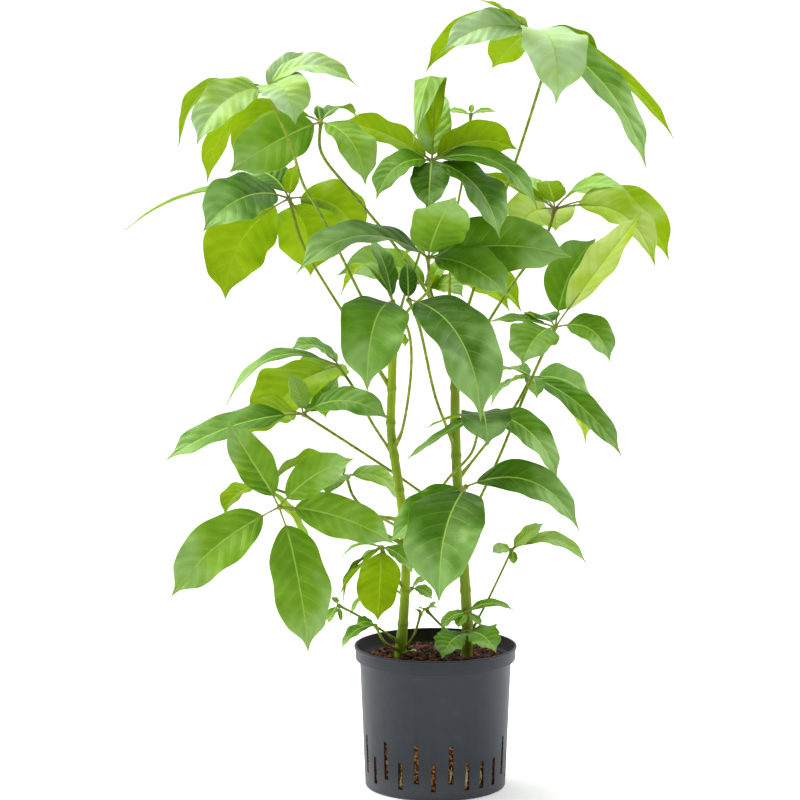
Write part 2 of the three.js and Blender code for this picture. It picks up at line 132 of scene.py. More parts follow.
def readFloats(mesh, name):
    values = np.empty(len(mesh.vertices), dtype=np.float32)
    mesh.attributes[name].data.foreach_get("value", values)
    return values.astype(float)


# shader maths as plain sums

class Link:  # one socket of a material
    def __init__(self, paint, socket):
        self.paint = paint
        self.socket = socket

    def maths(self, operation, *values):
        return self.paint.node("ShaderNodeMath", {"operation": operation}, (self, *values))

    def __add__(self, other):
        return self.maths("ADD", other)

    def __sub__(self, other):
        return self.maths("SUBTRACT", other)

    def __rsub__(self, other):
        return self.paint.node("ShaderNodeMath", {"operation": "SUBTRACT"}, (other, self))

    def __mul__(self, other):
        return self.maths("MULTIPLY", other)

    def __pow__(self, other):
        return self.maths("POWER", other)

    __radd__ = __add__
    __rmul__ = __mul__

    def fade(self, start, end):  # 0 at start, 1 at end, eased
        settings = {"interpolation_type": "SMOOTHSTEP"}
        return self.paint.node("ShaderNodeMapRange", settings, (self, start, end, 0.0, 1.0))

    def also(self, output):  # another output of the same node
        return Link(self.paint, self.socket.node.outputs[output])


class Paint:  # a material and the calls that fill it
    def __init__(self, name):
        self.material = bpy.data.materials.new(name)
        self.material.use_nodes = True
        self.tree = self.material.node_tree
        self.tree.nodes.clear()
        self.place = self.node("ShaderNodeTexCoord", {}, {}, "Object")

    def node(self, kind, settings, sockets, output=0):
        made = self.tree.nodes.new(kind)
        for key, value in settings.items():
            if key == "stops":
                for i, (place, shade) in enumerate(value):
                    stops = made.color_ramp.elements
                    stop = stops[i] if i < 2 else stops.new(place)
                    stop.position = place
                    stop.color = shade
            else:
                setattr(made, key, value)
        for key, value in sockets.items() if isinstance(sockets, dict) else enumerate(sockets):
            if isinstance(value, Link):
                self.tree.links.new(value.socket, made.inputs[key])
            else:
                made.inputs[key].default_value = value
        return Link(self, made.outputs[output])

    def mix(self, share, first, second):
        return self.node("ShaderNodeMix", {"data_type": "RGBA"}, {0: share, 6: first, 7: second}, 2)

    def ramp(self, value, *stops):
        return self.node("ShaderNodeValToRGB", {"stops": stops}, (value,))

    def height(self):  # above the floor, in metres
        return self.node("ShaderNodeSeparateXYZ", {}, (self.place,), "Z")

    def stretched(self, x, y, z):
        return self.node("ShaderNodeMapping", {}, {"Vector": self.place, "Scale": (x, y, z)})

    def cloud(self, scale, detail, where=None):
        sockets = {"Vector": where or self.place, "Scale": scale, "Detail": detail}
        return self.node("ShaderNodeTexNoise", {}, sockets)

    def cells(self, scale, feature="DISTANCE_TO_EDGE"):
        sockets = {"Vector": self.place, "Scale": scale}
        return self.node("ShaderNodeTexVoronoi", {"feature": feature}, sockets)

    def attribute(self, name):
        return self.node("ShaderNodeAttribute", {"attribute_name": name}, {}, "Fac")

    def relief(self, height, strength, distance):
        sockets = {"Strength": strength, "Distance": distance, "Height": height}
        return self.node("ShaderNodeBump", {}, sockets)

    def finish(self, **sockets):
        names = {key.replace("_", " "): value for key, value in sockets.items()}
        shader = self.node("ShaderNodeBsdfPrincipled", {}, names, "BSDF")
        out = self.tree.nodes.new("ShaderNodeOutputMaterial")
        self.tree.links.new(shader.socket, out.inputs["Surface"])
        return self.material


def colour(*picked):  # from the 0 to 255 of a colour picker, red, green and blue
    shares = [value / 255 for value in picked]
    return (*(((c + 0.055) / 1.055) ** 2.4 if c > 10 / 255 else c / 12.92 for c in shares), 1.0)


# pot: a moulded culture pot with a collar and a ring of slots

pot = {
    # radius and height of each ring, up the outside, over the lip and down the inside
    "outline": [
        (84, 0.9), (85.2, 0), (93.6, 0), (94.6, 0.5), (95.1, 1.6), (102.2, 171.3), (102.9, 172.4),
        (106.9, 173.7), (107.8, 174.4), (108.1, 175.7), (108.7, 188.8), (109.6, 189.6), (110, 190.6),
        (110, 191.8), (109.6, 192.6), (108.8, 193), (107.5, 193), (106.9, 192.5), (106.7, 191.6),
        (106.2, 176.7), (105.4, 175.1), (101.2, 173.9), (100.4, 172.7), (94.4, 6), (92.6, 3.1), (90, 2.5),
    ],
    "segments": 104,
    "insideFoot": 93.2,  # inside radius of the wall where it meets the floor
    "insideTop": 100.5,  # and just under the collar
    "insideHeight": 170,
    "floorTop": 2.5,
    "floorBand": (2, 180),  # faces that look up between these heights are painted as the inside
    "insideFrom": 2.4,  # and so are walls that look inwards above this one
    "paleFootSpan": (45, 5),  # heights between which the foot pales
    "collar": (172, 176),  # and the collar darkens
    "slots": 26,
    "slotTurn": -2,  # degrees from the front to the slot nearest it
    "slotLow": 7,
    "slotTop": 5.4,
    "short": (13, 50),
    "tall": (23, 75),
    "loneShort": (3,),  # slots that are short where the pattern would have a tall one
    "cutRadius": 95,
    "cutDepth": 16,
}


def slotSpan(i):
    return pot["tall"] if i % 2 and i not in pot["loneShort"] else pot["short"]


def slotAngle(i):  # turn about the pot's axis from the front, in radians
    return math.radians(pot["slotTurn"] + 360 / pot["slots"] * i)


def innerWall(z):  # inside radius of the wall at a height, in millimetres
    foot, top = pot["insideFoot"], pot["insideTop"]
    return foot + (top - foot) * (z - pot["floorTop"]) / pot["insideHeight"]


def potPaint():
    paint = Paint("pot plastic")
    flow = paint.cloud(9, 3, paint.stretched(1, 1, 0.12))
    dust = paint.cloud(38, 4)
    grit = paint.cloud(900, 2)
    height = paint.height()
    # the pot is painted paler towards its foot
    paleFoot = height.fade(pot["paleFootSpan"][0] * mm, pot["paleFootSpan"][1] * mm)
    collar = height.fade(pot["collar"][0] * mm, pot["collar"][1] * mm)
    base = paint.mix(flow.fade(0.3, 0.7), colour(30, 37, 46), colour(37, 44, 53))
    base = paint.mix(paleFoot * 0.7, base, colour(68, 72, 77))
    base = paint.mix(dust.fade(0.5, 0.8) * 0.2, base, colour(74, 78, 80))
    base = paint.mix(collar * 0.45, base, colour(26, 31, 38))
    return paint.finish(Base_Color=base, Roughness=0.44 + dust * 0.14, Specular_IOR_Level=0.38,
                        Normal=paint.relief(grit + dust * 2, 0.2, 0.0002))


def potInsidePaint():
    paint = Paint("pot inside")
    damp = paint.cloud(30, 3, paint.stretched(1, 1, 0.4))
    base = paint.mix(damp.fade(0.4, 0.7), colour(8, 9, 11), colour(20, 20, 21))
    return paint.finish(Base_Color=base, Roughness=0.5 + damp * 0.2, Normal=paint.relief(damp, 0.3, 0.0006))


def makePot():
    piece = turned(pot["segments"], pot["outline"])
    piece.name = piece.data.name = "culturePot"
    bpy.ops.object.mode_set(mode="OBJECT")
    outwards(piece)
    cutter = makeSlotCutter()
    applied(piece, "BOOLEAN", operation="DIFFERENCE", solver="EXACT", object=cutter)
    bpy.data.objects.remove(cutter)
    dressed(piece, potPaint(), potInsidePaint())
    low, high = pot["floorBand"]
    for face in piece.data.polygons:
        x, y, z = face.center
        inwards = face.normal.x * x + face.normal.y * y < -0.2 * math.hypot(x, y)
        inside = inwards and z > pot["insideFrom"] * mm
        face.material_index = int(inside or (face.normal.z > 0.5 and low * mm < z < high * mm))
    smoothed(piece, 32)
    settled(piece, ["pot"])
    print("pot made:", len(piece.data.polygons), "faces")


def makeSlotCutter():  # one tapering bar for each slot, all in one mesh
    bars = []
    for i in range(pot["slots"]):
        bottom, top = slotSpan(i)
        letGo()
        bpy.ops.mesh.primitive_cube_add(size=1, location=(0, 0, 0))
        bar = bpy.context.object
        bar.scale = (pot["slotLow"] * mm, pot["cutDepth"] * mm, (top - bottom) * mm)
        bar.location = (0, -pot["cutRadius"] * mm, (top + bottom) / 2 * mm)
        bpy.ops.object.transform_apply(location=True, rotation=True, scale=True)
        bpy.ops.object.mode_set(mode="EDIT")
        bpy.ops.mesh.select_mode(type="VERT")
        bpy.ops.mesh.select_all(action="DESELECT")
        bpy.ops.object.mode_set(mode="OBJECT")
        for vertex in bar.data.vertices:
            vertex.select = vertex.co.z > (top + bottom) / 2 * mm
        bpy.ops.object.mode_set(mode="EDIT")
        narrow = pot["slotTop"] / pot["slotLow"]
        bpy.ops.transform.resize(value=(narrow, 1, 1), center_override=(0, 0, 0))
        bpy.ops.object.mode_set(mode="OBJECT")
        bar.data.transform(Matrix.Rotation(slotAngle(i), 4, "Z"))
        bars.append(bar)
    return joined(bars, "slotCutter")


makePot()


# stems and their curves

stems = {
    "left": {
        "line": [(-50, 0, 130), (-48, 0, 172), (-43, 0, 235), (-40, 0, 307), (-45, 0, 377), (-54, 0, 440),
                 (-60, 0, 485), (-59, 0, 540), (-57, 0, 600), (-53, 0, 640)],
        "radius": [7.5, 7.8, 6.6, 6.5, 6.4, 6.3, 6.2, 6, 5.8, 4.5],
        "turn": 0.4,
    },
    "right": {
        "line": [(42, 0, 130), (42, 0, 172), (43, 0, 205), (42, 0, 240), (36, 0, 330), (29, 0, 417),
                 (26, 0, 500), (25, 0, 560), (20, 0, 605), (16, 0, 640)],
        "radius": [7.6, 8, 7.4, 7, 6.9, 6.8, 6.7, 6.4, 6, 4.5],
        "turn": 2.1,
    },
    "scarSpacing": 46,
    "scarSwelling": 0.8,
    "scarWidth": 4,
    "waist": 0.35,  # how far the stem draws in beside a scar, as a share of the swelling
    "waistGap": 7,
    "waistWidth": 3.5,
    "tip": (0.97, 0.88, 0.66, 0.2),  # how the last rings close
    "sway": 0.5,
    "swayLength": 34,
    "swayFrom": 175,  # the height above which it sways
    "step": 2.5,
}


def smoothLine(points, step):  # an even walk along a smooth curve through the points
    points = [np.array(p, dtype=float) for p in points]
    ends = [2 * points[0] - points[1]] + points + [2 * points[-1] - points[-2]]
    walk = []
    for i in range(len(points) - 1):
        p0, p1, p2, p3 = ends[i:i + 4]
        d0, d1, d2 = (max(np.linalg.norm(b - a), 1e-4) ** 0.5 for a, b in ((p0, p1), (p1, p2), (p2, p3)))
        t1 = ((p1 - p0) / d0 - (p2 - p0) / (d0 + d1) + (p2 - p1) / d1) * d1
        t2 = ((p2 - p1) / d1 - (p3 - p1) / (d1 + d2) + (p3 - p2) / d2) * d1
        t = np.linspace(0, 1, 41)[:, None]
        part = p1 + t1 * t + (3 * (p2 - p1) - 2 * t1 - t2) * t ** 2 + (2 * (p1 - p2) + t1 + t2) * t ** 3
        walk.append(part if i == 0 else part[1:])
    walk = np.concatenate(walk)
    run = np.concatenate([[0], np.cumsum(np.linalg.norm(np.diff(walk, axis=0), axis=1))])
    count = max(4, round(run[-1] / step))
    share = np.linspace(0, 1, count + 1)
    even = [np.interp(share * run[-1], run, walk[:, k]) for k in range(3)]
    return np.stack(even, axis=1), share, run[-1]


def tubes(name, strands, fineness):  # round strands of (points, radii) as one closed mesh
    curve = bpy.data.curves.new(name, "CURVE")
    curve.dimensions = "3D"
    curve.bevel_depth = 1.0
    curve.bevel_resolution = fineness
    curve.use_fill_caps = True
    for points, radii in strands:
        spline = curve.splines.new("POLY")
        spline.points.add(len(points) - 1)
        places = np.ones((len(points), 4), dtype=np.float32)
        places[:, :3] = np.asarray(points) * mm
        spline.points.foreach_set("co", places.ravel())
        spline.points.foreach_set("radius", (np.asarray(radii) * mm).astype(np.float32))
        spline.use_smooth = True
    piece = bpy.data.objects.new(name, curve)
    bpy.context.scene.collection.objects.link(piece)
    pick(piece)
    bpy.ops.object.convert(target="MESH")
    return bpy.context.object


def stemPaint(name, shade):
    paint = Paint(name)
    scar = paint.attribute("scar")
    streaks = paint.cloud(160, 3, paint.stretched(1, 1, 0.1))
    patches = paint.cloud(26, 3, paint.stretched(1, 1, 0.45))
    pores = paint.cells(330, "F1").fade(0.26, 0.12) * paint.cloud(90, 2).fade(0.5, 0.62)
    base = paint.mix(patches.fade(0.35, 0.68), colour(122, 150, 0), colour(156, 180, 14))
    base = paint.mix(streaks.fade(0.4, 0.75) * 0.5, base, colour(98, 124, 0))
    # painted shade: the shade share darkens a stem's rind where it stands in shadow
    base = paint.mix(shade, base, colour(74, 100, 0))
    base = paint.mix(pores * 0.6, base, colour(186, 192, 110))
    base = paint.mix(scar.fade(0.35, 0.95) * 0.4, base, colour(104, 112, 30))
    return paint.finish(Base_Color=base, Roughness=0.42 + patches * 0.16, Specular_IOR_Level=0.3,
                        Normal=paint.relief(streaks + pores * 2, 0.35, 0.0005))


def makeStem(side, node, paint):
    stem = stems[side]
    points, share, length = smoothLine(stem["line"], stems["step"])
    place = share * (len(stem["radius"]) - 1)
    radii = np.interp(place, range(len(stem["radius"])), stem["radius"])
    run = share * length
    scarGap = np.abs((run / stems["scarSpacing"] + 0.5) % 1 - 0.5) * stems["scarSpacing"]
    swell = np.exp(-(scarGap / stems["scarWidth"]) ** 2)
    waist = np.exp(-((scarGap - stems["waistGap"]) / stems["waistWidth"]) ** 2)
    radii = radii + stems["scarSwelling"] * (swell - stems["waist"] * waist)
    radii[-len(stems["tip"]):] *= stems["tip"]
    sway = stems["sway"] * np.sin(run / stems["swayLength"] + stem["turn"])
    points[:, 1] += np.where(points[:, 2] > stems["swayFrom"], sway, 0)
    piece = tubes("stem." + side, [(points, radii)], 4)
    sides = len(piece.data.vertices) // len(points)
    heights = vertexPlaces(piece.data)[:, 2] / mm
    setFloats(piece.data, "scar", np.interp(heights, points[:, 2], np.exp(-((scarGap - 1.2) / 1.5) ** 2)))
    dressed(piece, paint)
    smoothed(piece, 60)
    settled(piece, [node])
    print("stem made:", side, sides, "sides")


# the left stem is painted lit and the right one darker, in painted shade
makeStem("left", "stem_left", stemPaint("left stem rind", 0.0))
makeStem("right", "stem_right", stemPaint("right stem rind in painted shade", 0.4))


# substrate: a rough bed, loose granules on it and in the slots, and a few roots

soil = {
    "level": 174,
    "reach": 102.3,
    "crown": 4,
    "relief": 2.2,
    # rings of the bed: the height at which the wall is measured, how far the bed stands back from
    # it, and the ring's own height. It stands back further behind the slots, which granules fill.
    "bed": [(3.5, 0.6, 3.2), (8, 5, 8), (146, 5, 146), (160, 0.6, 160), (171, 0.7, 171)],
    "bedSegments": 84,
    "topFrom": 170.5,  # vertices above this height and within this radius follow the soil's surface
    "topReach": 99,
    "flatness": (0.7, 0.55, 0.85),  # of the three lumps
    "topGranules": 760,
    "topSize": (2.2, 4.2),
    "stemGap": 8,
    "slotSize": (1.5, 2.5),
    "slotRows": (-3.4, 0, 3.4),
    "slotRise": 3.3,
    # roots: which slot, how many strands, and how high they start as a share of the slot
    "roots": [(2, 4, 0.9), (3, 2, 0.7), (-2, 2, 0.6), (1, 2, 0.5), (9, 3, 0.8), (13, 2, 0.7),
              (18, 3, 0.8), (-7, 2, 0.6)],
    "seed": 11,
}


def soilHeight(x, y):
    inside = 1 - math.hypot(x, y) / soil["reach"]
    bumps = math.sin(x / 7 + 1) * math.cos(y / 9) + math.sin((x - y) / 5)
    smooth = soil["level"] + 1 - 3 * (1 - inside) ** 3 + soil["crown"] * inside
    return smooth + soil["relief"] * bumps * min(1, 3 * inside)


def granulePaint():
    paint = Paint("granules")
    tone = paint.attribute("tone")
    grain = paint.cloud(420, 4)
    pits = paint.cells(700, "F1")
    # painted light: granules low in the pot, seen through the slots, are painted paler as if lit
    paintedSlotLight = paint.height().fade(0.1, 0.08) * 0.42  # paler behind the slots
    stops = ((0.05, colour(14, 8, 4)), (0.32, colour(48, 24, 12)), (0.6, colour(92, 44, 22)),
             (0.85, colour(150, 84, 44)), (1.0, colour(206, 160, 96)))
    base = paint.ramp(tone * 0.8 + grain * 0.35 - 0.08 + paintedSlotLight, *stops)
    return paint.finish(Base_Color=base, Roughness=0.78 + grain * 0.2,
                        Normal=paint.relief(grain * 2 + pits, 0.6, 0.0006))


def rootPaint():
    paint = Paint("roots")
    tone = paint.attribute("tone")
    stain = paint.cloud(240, 3)
    base = paint.mix(tone, colour(214, 200, 158), colour(172, 176, 84))
    base = paint.mix(stain.fade(0.5, 0.75) * 0.6, base, colour(142, 104, 56))
    return paint.finish(Base_Color=base, Roughness=0.5 + stain * 0.25,
                        Normal=paint.relief(stain, 0.3, 0.0004))


def makeBed():
    rings = [(innerWall(wallAt) - gap, height) for wallAt, gap, height in soil["bed"]]
    piece = turned(soil["bedSegments"], rings)
    radius = rings[-1][0]
    while radius > 6:
        step = min(5, radius * 0.5)
        bpy.ops.mesh.inset(thickness=step * mm, depth=0)
        radius -= step
    bpy.ops.mesh.merge(type="CENTER")
    bpy.ops.object.mode_set(mode="OBJECT")
    for vertex in piece.data.vertices:
        x, y, z = vertex.co / mm
        if z > soil["topFrom"] and math.hypot(x, y) < soil["topReach"]:
            rough = 1.6 * noise.noise(Vector((x / 6, y / 6, 3)))
            vertex.co.z = (soilHeight(x, y) - 1.5 + rough) * mm
    outwards(piece)
    setFloats(piece.data, "tone", [0.25] * len(piece.data.vertices))
    return piece


def granuleShapes(rng):  # three chipped lumps that the rest are copied from
    shapes = []
    for flat in soil["flatness"]:
        letGo()
        bpy.ops.mesh.primitive_ico_sphere_add(subdivisions=1, radius=1)
        lump = bpy.context.object
        bpy.ops.object.mode_set(mode="EDIT")
        bpy.ops.mesh.select_all(action="SELECT")
        bpy.ops.transform.resize(value=(1.15, 0.9, flat), center_override=(0, 0, 0))
        bpy.ops.object.mode_set(mode="OBJECT")
        for vertex in lump.data.vertices:
            vertex.co *= rng.uniform(0.78, 1.22)
        setFloats(lump.data, "tone", [0.5] * len(lump.data.vertices))
        shapes.append(lump)
    return shapes


def granule(shape, place, size, tone, rng):
    copy = shape.copy()
    copy.data = shape.data.copy()
    spin = rng.uniform(0, 6.28)
    axis = (rng.uniform(-1, 1), rng.uniform(-1, 1), rng.uniform(-1, 1) + 0.01)
    grow = Matrix.Diagonal((size * mm,) * 3 + (1,))
    copy.data.transform(Matrix.Translation(Vector(place) * mm) @ Matrix.Rotation(spin, 4, axis) @ grow)
    setFloats(copy.data, "tone", [tone] * len(copy.data.vertices))
    bpy.context.scene.collection.objects.link(copy)
    return copy


def topGranules(shapes, rng):
    feet = [stems[side]["line"][1][:2] for side in ("left", "right")]
    copies = []
    for _ in range(soil["topGranules"]):
        size = rng.uniform(*soil["topSize"])
        reach = (innerWall(166) - size - 2.2) * math.sqrt(rng.random())
        angle = rng.uniform(0, 2 * math.pi)
        x, y = reach * math.cos(angle), reach * math.sin(angle)
        if min(math.hypot(x - a, y - b) for a, b in feet) < soil["stemGap"] + size:
            continue
        tone = rng.choice((0.25, 0.4, 0.5, 0.6, 0.7, 0.85)) + rng.uniform(-0.08, 0.08)
        shape = rng.choice(shapes)
        place = (x, y, soilHeight(x, y) + size * rng.uniform(-0.35, 0.25))
        copies.append(granule(shape, place, size, tone, rng))
    return copies


def slotGranules(shapes, rng):
    copies = []
    for i in range(pot["slots"]):
        bottom, top = slotSpan(i)
        z = bottom - 2
        while z < top + 2:
            for sideways in soil["slotRows"]:
                size = rng.uniform(*soil["slotSize"])
                reach = innerWall(z) - size * 1.15 - rng.uniform(0.5, 2.2)
                turn = slotAngle(i) + (sideways + rng.uniform(-0.8, 0.8)) / reach
                tone = rng.choice((0.1, 0.3, 0.5, 0.7, 0.95))
                place = (reach * math.sin(turn), -reach * math.cos(turn), z + rng.uniform(-0.8, 0.8))
                copies.append(granule(rng.choice(shapes), place, size, tone, rng))
            z += soil["slotRise"]
    return copies


def makeGranules(rng):
    shapes = granuleShapes(rng)
    copies = topGranules(shapes, rng) + slotGranules(shapes, rng)
    for shape in shapes:
        bpy.data.objects.remove(shape)
    return joined(copies, "granules")


def makeRoots(rng):
    strands = []
    for i, count, reach in soil["roots"]:
        bottom, top = slotSpan(i % 2 if i < 0 else i)
        for k in range(count):
            high = bottom + (top - bottom) * reach * rng.uniform(0.6, 1)
            lean = rng.uniform(-1.2, 1.2)
            line = []
            for t in np.linspace(0, 1, 9):
                z = high + (bottom + 1.2 - high) * t
                out = innerWall(z) - 2.4 + 2.6 * math.sin(math.pi * min(1, t * 1.1))
                turn = slotAngle(i) + (lean + 1.1 * math.sin(4 * t + k * 2)) / out
                line.append((out * math.sin(turn), -out * math.cos(turn), z))
            points, share, _ = smoothLine(line, 2)
            strands.append((points, rng.uniform(0.45, 0.8) * (1 - 0.55 * share)))
    piece = tubes("roots", strands, 1)
    setFloats(piece.data, "tone", [0.5] * len(piece.data.vertices))
    return piece


def makeSubstrate():
    rng = random.Random(soil["seed"])
    bed, lumps, roots = makeBed(), makeGranules(rng), makeRoots(rng)
    paint = granulePaint()
    dressed(bed, paint)
    dressed(lumps, paint)
    dressed(roots, rootPaint())
    smoothed(roots, 60)
    piece = joined([bed, lumps, roots], "granulate")
    settled(piece, ["substrate"])
    print("substrate made:", len(piece.data.polygons), "faces")


makeSubstrate()


# leaves: a stalk, a knuckle and drooping leaflets on thin stalks of their own

leafStyle = {
    "blade": (16, 40),  # cells across and along a leaflet
    "smallBlade": (10, 22),
    "smallUnder": 50,  # leaflets shorter than this take the small one
    "thickness": 1.7,  # over the midrib
    "thinShare": 0.38,  # of that, in the rest of the blade
    "bare": 0.07,  # the bare stalk of a leaflet, as a share of its length
    "bareLeast": 3.4,  # and its least length
    "widest": 0.42,
    "drip": 0.6,  # how far the outline draws in to its drip tip
    "dripFrom": 0.8,
    "dripOver": 0.15,
    "fold": 0.2,  # rise of the edges over the midrib, as a share of the half width
    "bentOver": 1,  # with more arch than this a leaflet hangs over, and its edges turn down instead
    "wave": 0.09,
    "ripple": 0.08,
    "uneven": 0.05,  # swell of the outline, as a share of the half width
    "sway": 0.014,  # how far a midrib bows sideways, as a share of its length
    "veins": 8,
    "veinSweep": 0.2,
    "puff": 0.22,  # how far the blade rises between its side veins
    "fullPuff": 30,  # half width from which it rises that far
    "teeth": 6,
    "toothDepth": 0.2,
    "teethEnd": 0.93,
    "stalkRadius": 2.2,
    "sheathRadius": 4.2,
    "stalkStep": 6,
    "youngUnder": 30,  # a leaf whose leaflets are all narrower than this is young
    "youngStalk": 0.8,  # and has a stalk this much thinner
    "bruise": 0.15,  # brown at the knuckle, where a leaf names no other share
    "bruiseReach": 22,
}

leafLooks = {
    "leaf top": {
        # in both ramps the dark end also stands for painted shade, and fresh for painted light shining
        # through the leaflet
        "tones": [(36, 88, 0), (80, 136, 4), (122, 168, 34), (150, 188, 70)],  # old, grown, young, fresh
        # a painted sheen: a paler, bluer green towards the tip
        "tipSheen": (146, 188, 112),  # a duller green towards the tip
        "tipSheenShare": 0.72,
        # the colour of the painted sheen, a pale reflection
        "pale": (178, 212, 158),
        "vein": (166, 200, 84),
        "veinShare": 0.18,
        "gloss": 0.32,
        "sheen": 0.4,
    },
    "leaf underside": {
        "tones": [(92, 124, 0), (112, 146, 0), (134, 170, 0), (158, 188, 20)],
        "tipSheen": (146, 188, 112),
        "tipSheenShare": 0.0,
        "pale": (190, 210, 120),
        "vein": (160, 190, 40),
        "veinShare": 0.22,
        "gloss": 0.5,
        "sheen": 0.12,
    },
}
